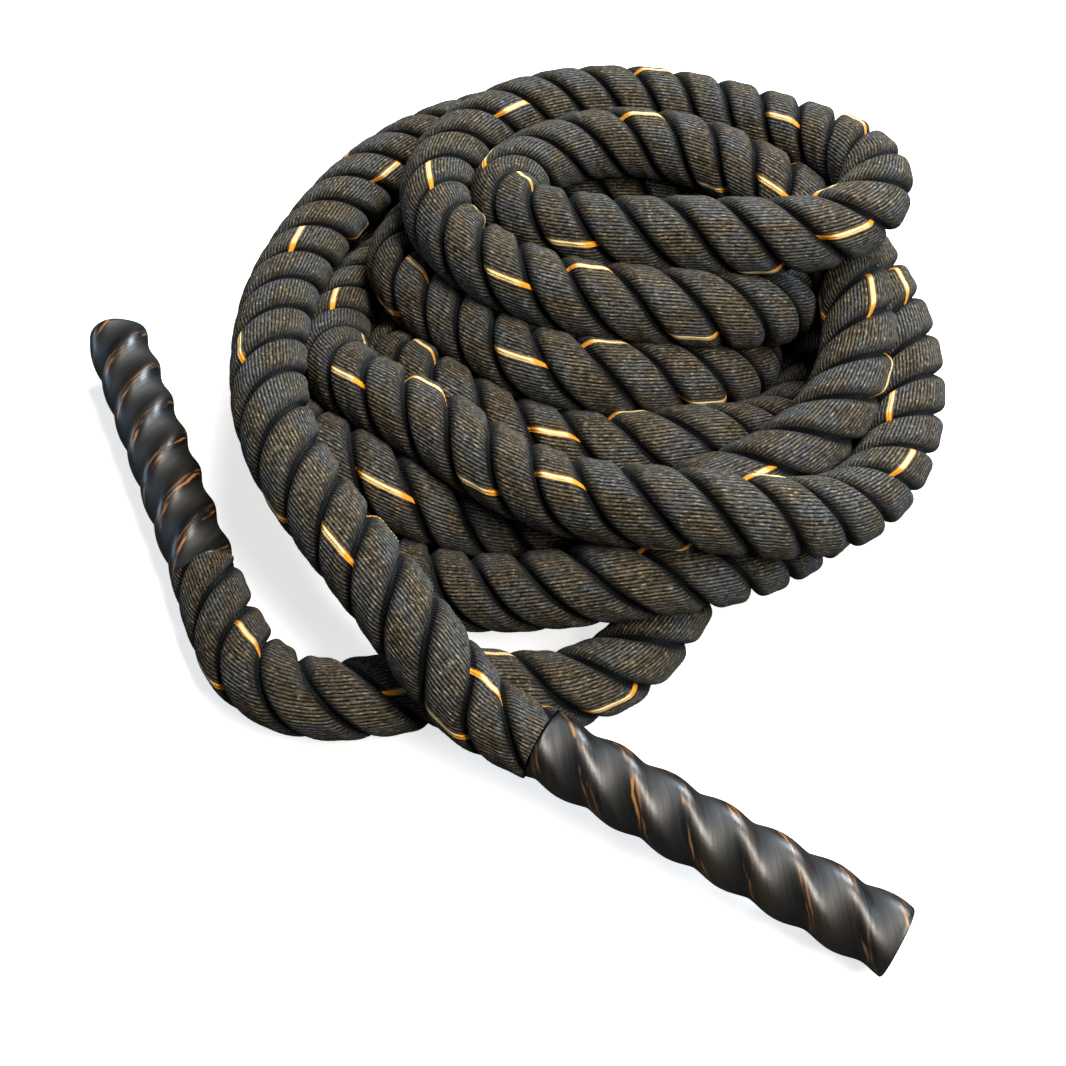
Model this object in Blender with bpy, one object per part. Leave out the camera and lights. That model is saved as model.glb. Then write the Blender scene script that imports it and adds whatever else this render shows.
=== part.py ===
"""Battle rope: a heavy three-strand rope lying in a loose heap, with a shrunk grip sleeve on each end.

Metres, +Z up. The rope was photographed from the front, which is -Y, and X runs to the right.
The origin is on the floor under the middle of the whole object's bounding box.
The rope's own lay and yarn are left out here, so the rope is a plain tube. The sleeves keep the
three-lobed twist of the strands that they are shrunk over, inside and outside.
"""
import math

import bpy
import numpy as np

# Driving dimensions, in metres
ROPE_DIAMETER = 0.050
STRAND_LAY = 0.116
SLEEVE_DIAMETER = 0.050
SLEEVE_LENGTH = 0.254
SLEEVE_WALL = 0.0015
GROOVE_DEPTH = 0.0032
LIP_ROUNDING = 0.0008
STRAND_CLEARANCE = 0.0010
END_RECESS = 0.004
NODE_GAP = 0.0003

# Counts
STRANDS = 3
SLEEVE_SIDES = 24
STRAND_ARC_POINTS = 7
RINGS_IN_LAY = 18
COIL_SIDES_RESOLUTION = 1
GROUND_REACH = 20
LEAST_RINGS = 4
TAIL_SIDES_RESOLUTION = 4

# Looks
ROPE_COLOUR = (0.045, 0.043, 0.042)
ROPE_ROUGHNESS = 0.85
SLEEVE_COLOUR = (0.02, 0.02, 0.022)
SLEEVE_ROUGHNESS = 0.30

# The route is written in rope diameters, chosen by eye from the photograph.
# On the floor the heap's tube is cut flat, a tenth of the diameter deep.
FLOOR_HEIGHT = 0.40
TAIL_HEIGHT = 0.51
# The coil has about 24 points in an average loop.
POINT_SPACING = 0.93
TURN_SPACING = 1.08
SPACING_ROUNDS = 300
BEND_EASE = 0.05
LAST_BEND_EASE = 0.005
ROUTE_PULL = 0.04
PULLED_ROUNDS = 240
PUSH_SHARE = 0.9
OWN_REACH = 2.2
FINE_STEPS = 8
TINY = 1e-9

# Sleeve A lies at the left, sleeve B at the front right. Each runs from its far end to its mouth.
SLEEVE_A_FAR = (-7.88, 0.95, 0.74)
SLEEVE_A_MOUTH = (-5.82, -3.68, 0.55)
SLEEVE_B_MOUTH = (-0.90, -6.80, 1.10)
SLEEVE_B_FAR = (3.54, -9.26, 0.52)

TAIL_A = (
    (-4.36, -4.50, 0.51), (-3.84, -4.98, 0.51), (-3.34, -5.54, 0.51), (-2.80, -6.16, 0.50),
    (-2.10, -6.32, 0.45),
)

# One row of stations for each turn, from the front round by the right, the back and the left
TURNS = (
    # Turn 1 lies on the floor, inside the others at the back
    (
        (-1.35, -6.05, 0.40), (-0.77, -5.76, 0.40), (-0.32, -5.34, 0.40), (0.02, -4.82, 0.40),
        (0.50, -4.20, 0.40), (1.02, -3.50, 0.40), (1.35, -2.60, 0.40), (1.15, -1.70, 0.40),
        (0.35, -1.10, 0.40), (-0.70, -0.90, 0.40), (-1.80, -0.80, 0.40), (-2.80, -0.90, 0.40),
        (-3.50, -1.50, 0.40), (-3.65, -2.50, 0.40),
    ),
    # Turn 2 crosses over the first at the front and then runs round the outside on the floor
    (
        (-3.00, -3.15, 0.45), (-2.50, -3.44, 0.50), (-1.85, -3.76, 0.65), (-1.20, -3.96, 0.85),
        (-0.50, -4.20, 1.10), (0.20, -4.42, 1.38), (0.85, -4.45, 1.40), (1.40, -4.20, 1.30),
        (2.05, -3.70, 1.00), (2.85, -3.10, 0.60), (3.50, -2.60, 0.40), (4.15, -1.80, 0.40),
        (4.54, -0.80, 0.40), (4.65, 0.40, 0.40), (4.60, 1.60, 0.40), (4.42, 2.80, 0.40),
        (3.90, 4.10, 0.40), (3.00, 5.05, 0.40), (1.90, 5.60, 0.40), (0.60, 5.80, 0.40),
        (-0.70, 5.75, 0.40), (-2.00, 5.35, 0.40), (-3.20, 4.60, 0.40), (-4.10, 3.55, 0.40),
        (-4.65, 2.38, 0.40), (-4.86, 1.10, 0.40), (-4.76, -0.10, 0.55), (-4.46, -1.08, 0.95),
    ),
    # Turn 3 climbs from the floor at the front to the top at the back
    (
        (-4.00, -1.95, 1.35), (-3.50, -2.65, 1.35), (-2.75, -2.95, 1.00), (-1.95, -2.88, 0.55),
        (-1.20, -2.95, 0.50), (0.20, -2.80, 0.80), (1.10, -2.70, 1.35), (2.00, -2.75, 1.60),
        (2.60, -2.55, 1.70), (3.05, -2.25, 1.80), (3.50, -1.70, 1.90), (3.80, -1.05, 1.95),
        (4.00, -0.30, 2.00), (4.05, 0.55, 2.00), (3.80, 1.42, 2.00), (3.30, 2.18, 2.00),
        (2.80, 2.80, 2.05), (2.42, 3.34, 2.15), (2.05, 3.68, 2.25), (1.55, 3.78, 2.30),
        (0.95, 3.80, 2.30), (0.15, 3.70, 2.30), (-0.55, 3.45, 2.30), (-1.15, 3.05, 2.35),
        (-1.45, 2.35, 2.50), (-1.35, 1.60, 2.75),
    ),
    # Turn 4 is the top of the heap
    (
        (-0.90, 0.95, 2.95), (0.00, 0.62, 3.05), (0.75, 0.50, 3.05), (1.55, 0.46, 3.05),
        (2.30, 0.42, 3.05), (3.05, 0.38, 3.10), (3.75, 0.52, 3.10), (4.10, 0.72, 3.00),
        (4.05, 1.40, 2.85), (3.76, 2.22, 2.70), (3.36, 3.00, 2.55), (2.88, 3.80, 2.45),
        (2.46, 4.52, 2.40), (1.86, 4.94, 2.35), (1.05, 5.18, 2.35), (0.15, 5.16, 2.35),
        (-0.70, 5.03, 2.35), (-1.55, 4.55, 2.40), (-2.30, 3.75, 2.45), (-2.60, 2.60, 2.50),
        (-2.40, 1.55, 2.45),
    ),
    # Turn 5
    (
        (-1.85, 0.72, 2.42), (-1.20, 0.15, 2.45), (-0.60, -0.15, 2.45), (0.35, -0.38, 2.47),
        (0.95, -0.42, 2.47), (1.55, -0.38, 2.42), (2.30, -0.08, 2.20), (2.95, 0.60, 1.85),
        (3.25, 1.45, 1.50), (3.30, 2.40, 1.35), (2.60, 3.35, 1.25), (1.40, 3.85, 1.25),
        (0.00, 3.85, 1.25), (-1.30, 3.55, 1.25), (-2.30, 3.20, 1.25),
    ),
    # Turn 6
    (
        (-2.95, 2.85, 1.30), (-2.85, 1.80, 1.45), (-2.62, 0.70, 1.60), (-2.20, -0.20, 1.72),
        (-1.50, -0.75, 1.72), (-0.75, -1.08, 1.72), (0.00, -1.25, 1.72), (0.80, -1.30, 1.72),
        (1.55, -1.12, 1.65), (2.30, -0.62, 1.45), (3.00, 0.20, 1.20), (2.85, 1.05, 0.70),
        (2.55, 1.90, 0.40), (2.00, 2.75, 0.40), (1.10, 3.25, 0.40), (0.00, 3.30, 0.40),
        (-1.20, 3.00, 0.40), (-2.30, 2.70, 0.40), (-3.05, 2.50, 0.45),
    ),
    # Turn 7
    (
        (-3.55, 2.25, 0.60), (-3.40, 1.15, 0.80), (-3.05, 0.00, 0.95), (-2.55, -0.80, 0.95),
        (-2.10, -1.25, 0.90), (-1.50, -1.50, 0.85), (-0.90, -1.66, 0.80), (0.00, -1.78, 0.75),
        (0.75, -1.75, 0.70), (1.55, -1.48, 0.65), (2.30, -0.90, 0.60), (3.00, 0.00, 0.50),
        (3.50, 0.65, 0.40), (3.65, 1.70, 0.40), (3.50, 2.70, 0.40), (2.90, 3.70, 0.40),
        (1.90, 4.35, 0.40), (0.80, 4.55, 0.40), (-0.50, 4.45, 0.40), (-1.80, 4.10, 0.40),
        (-2.95, 3.55, 0.40), (-3.88, 2.85, 0.40), (-4.28, 1.88, 0.45),
    ),
    # Turn 8 is the outermost at the front and at the right, and lies on the second at the back
    (
        (-4.20, 0.68, 0.75), (-3.98, -0.42, 1.15), (-3.55, -1.40, 1.40), (-2.80, -2.30, 1.60),
        (-1.90, -3.05, 1.70), (-1.20, -3.40, 1.75), (-0.60, -3.60, 1.80), (-0.05, -3.75, 1.90),
        (0.60, -4.10, 2.10), (1.25, -4.30, 2.20), (1.90, -4.25, 2.15), (2.65, -3.90, 1.95),
        (3.48, -3.38, 1.65), (4.08, -2.72, 1.50), (4.48, -1.95, 1.45), (4.63, -1.10, 1.40),
        (4.64, -0.25, 1.40), (4.57, 0.60, 1.40), (4.40, 1.40, 1.40), (4.17, 2.15, 1.40),
        (3.98, 3.50, 1.40), (3.25, 4.68, 1.40), (2.20, 5.38, 1.40), (0.90, 5.72, 1.40),
        (-0.40, 5.86, 1.40), (-1.62, 5.76, 1.40),
    ),
)

TAIL_B = (
    (-2.66, 5.46, 1.45), (-3.36, 4.67, 1.50), (-4.07, 3.73, 1.55), (-4.57, 2.67, 1.60),
    (-4.80, 1.55, 1.65), (-4.82, 0.40, 1.70), (-4.71, -0.70, 1.75), (-4.46, -1.75, 1.80),
    (-4.32, -2.76, 1.85), (-3.93, -3.70, 1.85), (-3.30, -4.38, 1.80), (-2.62, -4.98, 1.70),
    (-1.90, -5.44, 1.50),
)


def clear_scene():
    for item in list(bpy.data.objects):
        bpy.data.objects.remove(item, do_unlink=True)


def material(name, colour, roughness):
    made = bpy.data.materials.new(name)
    made.use_nodes = True
    shader = made.node_tree.nodes["Principled BSDF"]
    shader.inputs["Base Color"].default_value = (*colour, 1.0)
    shader.inputs["Roughness"].default_value = roughness
    return made


def unit(vector):
    vector = np.asarray(vector, float)
    return vector / np.linalg.norm(vector)


# The rope's route

def stations():
    """The hand-chosen stations in order, from the mouth of sleeve A to the mouth of sleeve B."""
    mouth_a = np.array(SLEEVE_A_MOUTH)
    mouth_b = np.array(SLEEVE_B_MOUTH)
    leave_a = mouth_a + unit(mouth_a - SLEEVE_A_FAR)
    reach_b = mouth_b - unit(SLEEVE_B_FAR - mouth_b)
    rows = [mouth_a, leave_a, *TAIL_A]
    for turn in TURNS:
        rows.extend(turn)
    rows.extend([*TAIL_B, reach_b, mouth_b])
    return np.array(rows, float)


def smooth_curve(points, step):
    """Points spread evenly, about one step apart, on a cubic curve through the given ones."""
    gaps = np.linalg.norm(np.diff(points, axis=0), axis=1)
    rates = np.diff(points, axis=0) / gaps[:, None]
    slopes = np.empty_like(points)
    slopes[0] = rates[0]
    slopes[-1] = rates[-1]
    near, far = gaps[:-1, None], gaps[1:, None]
    slopes[1:-1] = (rates[:-1] * far + rates[1:] * near) / (near + far)
    fine = []
    for i, gap in enumerate(gaps):
        count = max(2, math.ceil(FINE_STEPS * gap / step))
        t = np.linspace(0.0, 1.0, count, endpoint=False)[:, None]
        start_place = 2 * t ** 3 - 3 * t ** 2 + 1
        start_slope = t ** 3 - 2 * t ** 2 + t
        end_slope = t ** 3 - t ** 2
        piece = start_place * points[i] + (1 - start_place) * points[i + 1]
        fine.append(piece + gap * (start_slope * slopes[i] + end_slope * slopes[i + 1]))
    fine = np.concatenate([*fine, points[-1:]])
    walked = np.concatenate([[0.0], np.cumsum(np.linalg.norm(np.diff(fine, axis=0), axis=1))])
    places = np.linspace(0.0, walked[-1], max(2, round(walked[-1] / step)) + 1)
    return np.stack([np.interp(places, walked, fine[:, axis]) for axis in range(3)], axis=1)


def nearest_places(line):
    """For each pair of the line's segments: how far along each they are nearest, and the arrow."""
    start = line[:-1]
    run = np.diff(line, axis=0)
    first = (run * run).sum(axis=1)[:, None]
    second = first.T
    across = start[:, None, :] - start[None, :, :]
    both = run @ run.T
    on_first = (across * run[:, None, :]).sum(axis=2)
    on_second = (across * run[None, :, :]).sum(axis=2)
    square = first * second - both * both
    level = square < TINY
    s = np.where(level, 0.5, (both * on_second - on_first * second) / np.where(level, 1.0, square))
    s = np.clip(s, 0.0, 1.0)
    t = (both * s + on_second) / second
    s = np.where(t < 0.0, -on_first / first, np.where(t > 1.0, (both - on_first) / first, s))
    s = np.clip(s, 0.0, 1.0)
    t = np.clip(t, 0.0, 1.0)
    arrow = across + s[:, :, None] * run[:, None, :] - t[:, :, None] * run[None, :, :]
    return s, t, arrow


def later_pairs(count, step):
    """Which pairs of segments lie far enough apart along the rope to count as two parts of it."""
    index = np.arange(count)
    return (index[None, :] - index[:, None]) * step > OWN_REACH + step / 2


def keep_lengths(line, step, free):
    """Brings each segment back towards one step long, the even ones first."""
    for first in (0, 1):
        ahead = slice(first, -1, 2)
        behind = slice(first + 1, None, 2)
        run = line[behind] - line[ahead]
        length = np.linalg.norm(run, axis=1)
        move = run * ((length - step) / length / 4)[:, None]
        line[ahead] += move * free[ahead, None]
        line[behind] -= move * free[behind, None]


def space_turns(route, step):
    """Moves the turns off each other until they rest one rope's diameter apart, or a little more."""
    line = route.copy()
    free = np.ones(len(line))
    free[:2] = 0.0
    free[-2:] = 0.0
    floor = np.where(np.arange(len(line)) <= len(TAIL_A), TAIL_HEIGHT, FLOOR_HEIGHT)
    pairs = later_pairs(len(line) - 1, step)
    for turn in range(SPACING_ROUNDS):
        ease = max(0.0, 1.0 - turn / PULLED_ROUNDS)
        bend = line[:-4] - 4 * line[1:-3] + 6 * line[2:-2] - 4 * line[3:-1] + line[4:]
        straighten = LAST_BEND_EASE + (BEND_EASE - LAST_BEND_EASE) * ease
        line[2:-2] -= bend * free[2:-2, None] * straighten
        line += (route - line) * (free[:, None] * ROUTE_PULL * ease)
        keep_lengths(line, step, free)
        s, t, arrow = nearest_places(line)
        distance = np.linalg.norm(arrow, axis=2) + TINY
        short = np.where(pairs, np.clip(TURN_SPACING - distance, 0.0, None), 0.0)
        push = arrow * (short / distance / 2)[:, :, None]
        move = np.zeros_like(line)
        move[:-1] += (push * (1 - s)[:, :, None]).sum(axis=1)
        move[1:] += (push * s[:, :, None]).sum(axis=1)
        move[:-1] -= (push * (1 - t)[:, :, None]).sum(axis=0)
        move[1:] -= (push * t[:, :, None]).sum(axis=0)
        line += PUSH_SHARE * move * free[:, None]
        line[:, 2] = np.maximum(line[:, 2], floor)
    return line


def least_distance(line, step):
    """Least distance between two parts of the rope's centre line."""
    arrow = nearest_places(line)[2]
    distance = np.linalg.norm(arrow, axis=2)
    return distance[later_pairs(len(distance), step)].min()


def rope_line():
    """The rope's centre line in metres, from the mouth of sleeve A to the mouth of sleeve B."""
    rows = stations()
    route = smooth_curve(rows, POINT_SPACING)
    step = np.linalg.norm(np.diff(route, axis=0), axis=1).mean()
    # The rope leaves each sleeve in a straight line.
    route[1] = route[0] + step * unit(rows[1] - rows[0])
    route[-2] = route[-1] + step * unit(rows[-2] - rows[-1])
    line = space_turns(route, step)
    length = np.linalg.norm(np.diff(line, axis=0), axis=1).sum() * ROPE_DIAMETER
    gap = (least_distance(line, step) - 1.0) * ROPE_DIAMETER
    print("rope between the sleeves: %.3f m" % length)
    print("rope from end to end: %.3f m" % (length + 2 * (SLEEVE_LENGTH - END_RECESS)))
    print("least gap between two turns of the tube: %.2f mm" % (gap * 1000))
    return line * ROPE_DIAMETER


# Tubes

def tube(name, points, radius, resolution, look):
    curve = bpy.data.curves.new(name, "CURVE")
    curve.dimensions = "3D"
    curve.twist_mode = "Z_UP"
    curve.bevel_depth = radius
    curve.bevel_resolution = resolution
    curve.use_fill_caps = True
    spline = curve.splines.new("POLY")
    spline.points.add(len(points) - 1)
    for point, place in zip(spline.points, points):
        point.co = (*place, 1.0)
    spline.use_smooth = True
    made = bpy.data.objects.new(name, curve)
    bpy.context.scene.collection.objects.link(made)
    curve.materials.append(look)
    return made


def flat_underneath(made):
    """Turns a tube into a mesh and cuts it off level with the floor."""
    bpy.context.view_layer.update()
    graph = bpy.context.evaluated_depsgraph_get()
    mesh = bpy.data.meshes.new_from_object(made.evaluated_get(graph))
    name = made.name
    look = made.data.materials[0]
    bpy.data.objects.remove(made, do_unlink=True)
    solid = bpy.data.objects.new(name, mesh)
    bpy.context.scene.collection.objects.link(solid)
    mesh.materials.clear()
    mesh.materials.append(look)
    reach = GROUND_REACH * ROPE_DIAMETER
    low = -ROPE_DIAMETER
    corners = [(x, y, z) for z in (low, 0.0) for y in (-reach, reach) for x in (-reach, reach)]
    faces = [(0, 2, 3, 1), (4, 5, 7, 6), (0, 1, 5, 4), (2, 6, 7, 3), (0, 4, 6, 2), (1, 3, 7, 5)]
    ground = bpy.data.meshes.new("ground")
    ground.from_pydata(corners, [], faces)
    cutter = bpy.data.objects.new("ground_cutter", ground)
    cutter.hide_render = True
    cutter.display_type = "WIRE"
    bpy.context.scene.collection.objects.link(cutter)
    cut = solid.modifiers.new("floor", "BOOLEAN")
    cut.operation = "DIFFERENCE"
    cut.solver = "EXACT"
    cut.object = cutter
    return solid


def middle(line, index, side):
    """A point half a node gap before or after the middle of the two segments around an index."""
    start, end = line[index - 1], line[index + 1]
    return (start + end) / 2 + side * unit(end - start) * NODE_GAP / 2


def rope_tubes(line, look):
    """The heap as one unbroken tube, and the free stretch before and after it."""
    radius = ROPE_DIAMETER / 2
    first = len(TAIL_A) - 1
    last = len(line) - 1 - first
    start = [*line[:first], middle(line, first, -1)]
    tube("rope_tail_a", start, radius, TAIL_SIDES_RESOLUTION, look)
    heap = [middle(line, first, 1), *line[first + 1:last], middle(line, last, -1)]
    flat_underneath(tube("rope_coil", heap, radius, COIL_SIDES_RESOLUTION, look))
    end = [middle(line, last, 1), *line[last + 1:]]
    tube("rope_tail_b", end, radius, TAIL_SIDES_RESOLUTION, look)


# Sleeves, and the strands inside them

def axes(along):
    """Two directions square to a sleeve's axis, the second one the nearer to upright."""
    side = unit(np.cross((0.0, 0.0, 1.0), along))
    return side, np.cross(along, side)


def lobed_radius(angle, crest):
    """Radius of the shrunk skin: highest over each strand, lowest over the groove between two."""
    return crest - GROOVE_DEPTH * (1 - np.cos(STRANDS * angle)) / 2


def laid_ring(mouth, along, place, angles, radii):
    """A ring of corners square to the axis, turned with the rope's right-hand lay."""
    side, up = axes(along)
    turned = angles + math.tau * place / STRAND_LAY
    centre = mouth + along * (place + NODE_GAP)
    return centre + np.outer(radii * np.cos(turned), side) + np.outer(radii * np.sin(turned), up)


def body(name, rings, faces, look):
    mesh = bpy.data.meshes.new(name)
    mesh.from_pydata(np.concatenate(rings).tolist(), [], faces)
    mesh.materials.append(look)
    made = bpy.data.objects.new(name, mesh)
    bpy.context.scene.collection.objects.link(made)
    return made


def sleeve(name, mouth, along, look):
    crest = SLEEVE_DIAMETER / 2
    lip = crest - LIP_ROUNDING
    count = max(LEAST_RINGS, round(SLEEVE_LENGTH / STRAND_LAY * RINGS_IN_LAY)) + 1
    inner = [(place, crest - SLEEVE_WALL) for place in np.linspace(0.0, SLEEVE_LENGTH, count)]
    low, high = LIP_ROUNDING, SLEEVE_LENGTH - LIP_ROUNDING
    outer = [(place, crest) for place in np.linspace(high, low, count)]
    profile = [*inner, (SLEEVE_LENGTH, lip), *outer, (0.0, lip)]
    angles = np.arange(SLEEVE_SIDES) * math.tau / SLEEVE_SIDES
    rings = [laid_ring(mouth, along, place, angles, lobed_radius(angles, size)) for place, size in profile]
    faces = []
    for i in range(len(rings)):
        this = i * SLEEVE_SIDES
        following = (i + 1) % len(rings) * SLEEVE_SIDES
        for k in range(SLEEVE_SIDES):
            beside = (k + 1) % SLEEVE_SIDES
            faces.append((this + k, following + k, following + beside, this + beside))
    made = body(name, rings, faces, look)
    for face in made.data.polygons:
        face.use_smooth = True
    return made


def strand_section():
    """A third of the bore, less the clearance: a point at the axis, then the arc of its lobe."""
    crest = SLEEVE_DIAMETER / 2 - SLEEVE_WALL - STRAND_CLEARANCE
    half = math.pi / STRANDS
    edge = half - math.asin(STRAND_CLEARANCE / 2 / (crest - GROOVE_DEPTH))
    arc = np.linspace(-edge, edge, STRAND_ARC_POINTS)
    angles = np.array([0.0, *arc])
    radii = np.array([STRAND_CLEARANCE / 2 / math.sin(half), *lobed_radius(arc, crest)])
    return angles, radii


def strand(name, mouth, along, start_angle, look):
    """One of the rope's strands, from the mouth to just short of the sleeve's far end."""
    angles, radii = strand_section()
    length = SLEEVE_LENGTH - END_RECESS
    count = max(LEAST_RINGS, round(length / STRAND_LAY * RINGS_IN_LAY)) + 1
    places = np.linspace(0.0, length, count)
    rings = [laid_ring(mouth, along, place, angles + start_angle, radii) for place in places]
    sides = len(angles)
    faces = [tuple(reversed(range(sides))), tuple(range((count - 1) * sides, count * sides))]
    for i in range(count - 1):
        this = i * sides
        following = this + sides
        for k in range(1, sides - 1):
            faces.append((this + k, this + k + 1, following + k + 1, following + k))
        # The flat sides meet their neighbours, so all are split along the same diagonal.
        faces.append((this, this + 1, following + 1))
        faces.append((this, following + 1, following))
        last = sides - 1
        faces.append((this + last, this, following + last))
        faces.append((this, following, following + last))
    return body(name, rings, faces, look)


def rope_end(letter, mouth, far, sleeve_look, rope_look):
    mouth = np.array(mouth) * ROPE_DIAMETER
    along = unit(np.array(far) * ROPE_DIAMETER - mouth)
    sleeve("sleeve_" + letter, mouth, along, sleeve_look)
    for number in range(STRANDS):
        name = "strand_%s_%d" % (letter, number + 1)
        strand(name, mouth, along, number * math.tau / STRANDS, rope_look)


def put_origin_under_middle():
    bpy.context.view_layer.update()
    graph = bpy.context.evaluated_depsgraph_get()
    places = []
    solids = [item for item in bpy.data.objects if not item.hide_render]
    for item in solids:
        mesh = item.evaluated_get(graph).to_mesh()
        places.extend([tuple(corner.co) for corner in mesh.vertices])
        item.evaluated_get(graph).to_mesh_clear()
    places = np.array(places)
    low, high = places.min(axis=0), places.max(axis=0)
    shift = ((low[0] + high[0]) / 2, (low[1] + high[1]) / 2, low[2])
    print("overall size: %.3f x %.3f x %.3f m" % tuple(high - low))
    print("origin in the route's own frame: %.5f %.5f %.5f m" % shift)
    for item in bpy.data.objects:
        item.location = tuple(-value for value in shift)


def build():
    clear_scene()
    rope_look = material("black_polyester_rope", ROPE_COLOUR, ROPE_ROUGHNESS)
    sleeve_look = material("black_shrunk_sleeve", SLEEVE_COLOUR, SLEEVE_ROUGHNESS)
    rope_tubes(rope_line(), rope_look)
    rope_end("a", SLEEVE_A_MOUTH, SLEEVE_A_FAR, sleeve_look, rope_look)
    rope_end("b", SLEEVE_B_MOUTH, SLEEVE_B_FAR, sleeve_look, rope_look)
    put_origin_under_middle()


build()
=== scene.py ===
"""Battle rope: dresses the CAD model for a render from the photograph's view.

Metres, +Z up, in the row frame. The heap's route is repeated from the part's source, in rope
diameters, and is laid out by the same steps, so the detailed rope lies where the CAD tubes are.
"""

import math

import bpy
import numpy as np
from mathutils import Euler, Matrix, Vector

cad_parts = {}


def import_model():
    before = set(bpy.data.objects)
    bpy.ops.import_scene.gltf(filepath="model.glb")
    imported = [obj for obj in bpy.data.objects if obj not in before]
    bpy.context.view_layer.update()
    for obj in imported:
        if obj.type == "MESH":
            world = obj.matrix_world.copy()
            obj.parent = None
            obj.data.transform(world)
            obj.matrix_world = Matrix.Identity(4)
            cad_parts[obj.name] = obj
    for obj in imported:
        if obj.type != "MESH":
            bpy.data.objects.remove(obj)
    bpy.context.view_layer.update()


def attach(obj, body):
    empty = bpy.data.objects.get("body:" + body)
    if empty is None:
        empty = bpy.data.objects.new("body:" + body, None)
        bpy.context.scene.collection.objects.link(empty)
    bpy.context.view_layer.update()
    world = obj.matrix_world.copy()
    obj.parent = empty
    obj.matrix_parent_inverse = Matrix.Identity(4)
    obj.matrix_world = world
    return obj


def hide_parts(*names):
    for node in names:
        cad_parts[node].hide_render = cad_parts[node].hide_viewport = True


# Driving dimensions, in metres, as in the part's source
ROPE_DIAMETER = 0.050
STRAND_LAY = 0.116
SLEEVE_DIAMETER = 0.050
SLEEVE_LENGTH = 0.254
SLEEVE_WALL = 0.0015
GROOVE_DEPTH = 0.0032
LIP_ROUNDING = 0.0008
END_RECESS = 0.004
NODE_GAP = 0.0003
STRANDS = 3
# The middle of the part's box, in the route's own frame
ROUTE_ORIGIN = (-0.07444, -0.08172, 0.0)

# The rope's strands, in metres. A strand's section is an ellipse, wider across the lay, and its
# crest stands a little proud of the plain tube, as a slack laid rope's does.
CREST_RADIUS = 0.0285
STRAND_RADIUS = 0.0128
STRAND_HALF_WIDTH = 0.0192
STRAND_ARC = math.radians(113)
STRAND_POINTS = 22
# Below 1, the section bulges towards its corners.
STRAND_FULLNESS = 0.92
SECTION_STEPS = 720
RING_SPACING = 0.0032
# The sleeve's shrinking draws the rope in near its mouth.
DRAWN_IN = 0.11
DRAWN_LENGTH = 0.10
# The strands flatten on the floor, softly over this height.
FLOOR_SOFTNESS = 0.0015
FLOOR_CLEARANCE = 0.0002
# A yarn goes once round its strand in this length of rope, so it runs along the rope on top.
YARN_LAY = 0.0655
YARNS_IN_STRAND = 38
# Gold yarns: strand, yarn, and the share of its turns that come to the surface
TRACERS = ((0, 9, 1.0), (1, 5, 0.72))
# The width of a gold yarn and of its full core, as shares of a turn round its strand
TRACER_WIDTH = 0.047
TRACER_CORE = 0.75 * TRACER_WIDTH

# The UV map for baking lays the long rope out in rows, with a margin round each.
BAKE_ROWS = 7
BAKE_EDGE = 0.003

# The photograph's frame and view. The camera's place is in rope diameters, like the route.
PICTURE_SIDE = 1066
FOCAL_PIXELS = 1446
CAMERA_PLACE = (-1.0, -16.0, 17.9)
CAMERA_TILT = math.radians(37)

# The sleeves' meshes
SLEEVE_SIDES = 72
SLEEVE_RINGS = 110

# The rope's colours, which are linear like all colours here
YARN_BROWNS = ((0.058, 0.045, 0.028, 1), (0.140, 0.110, 0.069, 1))
YARN_COOL = (0.088, 0.094, 0.098, 1)
YARN_WORN = (0.440, 0.365, 0.240, 1)
YARN_SPECKS = (0.010, 0.008, 0.006, 1)
# Painted shade, near black, in the creases between two yarns
YARN_GAP_SHADE = (0.002, 0.002, 0.002, 1)
STRAND_SHADE = (0.003, 0.003, 0.003, 1)
# A painted black shadow in the groove between two strands
GROOVE_PAINTED_SHADOW = (0.001, 0.001, 0.001, 1)
GOLD = (1.0, 0.86, 0.44, 1)
GOLD_EDGE = (1.0, 0.40, 0.03, 1)
ROPE_SURFACE = {
    "Roughness": 0.65,
    "Specular IOR Level": 0.15,
    "Sheen Weight": 0.06,
    "Sheen Roughness": 0.40,
    "Sheen Tint": (0.70, 0.85, 1.0, 1),
}
# Noise along the yarns: cells across one, cells in a metre, detail and roughness
FIBRE_NOISE = (1.6, 260.0, 3.0, 0.7)
PATCH_NOISE = (0.12, 22.0, 2.0, 0.5)
GAP_SHADE_NOISE = (1.0, 150.0, 1.0, 0.5)
# A yarn's own tone changes slowly along it: scale and detail of its noise, and stretch in a metre
TONE_NOISE = (1.9, 1.0)
TONE_ALONG = 14.0
# Each mask goes from 0 to 1 between two values, or from the third number to the fourth.
TONE_MASK = (0.30, 0.70)
PATCH_MASK = (0.42, 0.62)
WORN_MASK = (0.52, 0.72)
SPECK_MASK = (0.48, 0.34)
GAP_SHADE_MASK = (0.70, 0.18)
GAP_SHADE_STRENGTH = (0.35, 0.55, 0.45, 1.0)
# Places across a strand, as shares of the way round it from its crest
SHADE_MASK = (0.135, 0.245, 0.0, 0.62)
GROOVE_SHADOW_MASK = (0.238, 0.256)
GOLD_END_MASK = (0.150, 0.215)
# Shares of the tracer's width
GOLD_RIM = (0.24, 0.46)
# Turns of a yarn's plies in a metre, heights as shares of the bump's depth, and that depth
PLY_TURNS = 400.0
PLY_HEIGHT = 0.08
FIBRE_HEIGHT = 0.6
YARN_ROUNDNESS = 0.6
YARN_BUMP = 0.0009

# The sleeves' colours
TUBE_BLACKS = ((0.004, 0.004, 0.005, 1), (0.020, 0.014, 0.009, 1))
TUBE_STREAK = (0.420, 0.190, 0.060, 1)
# Painted shade between two lobes of the tube
VALLEY_PAINTED_SHADE = (0.002, 0.002, 0.002, 1)
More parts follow.
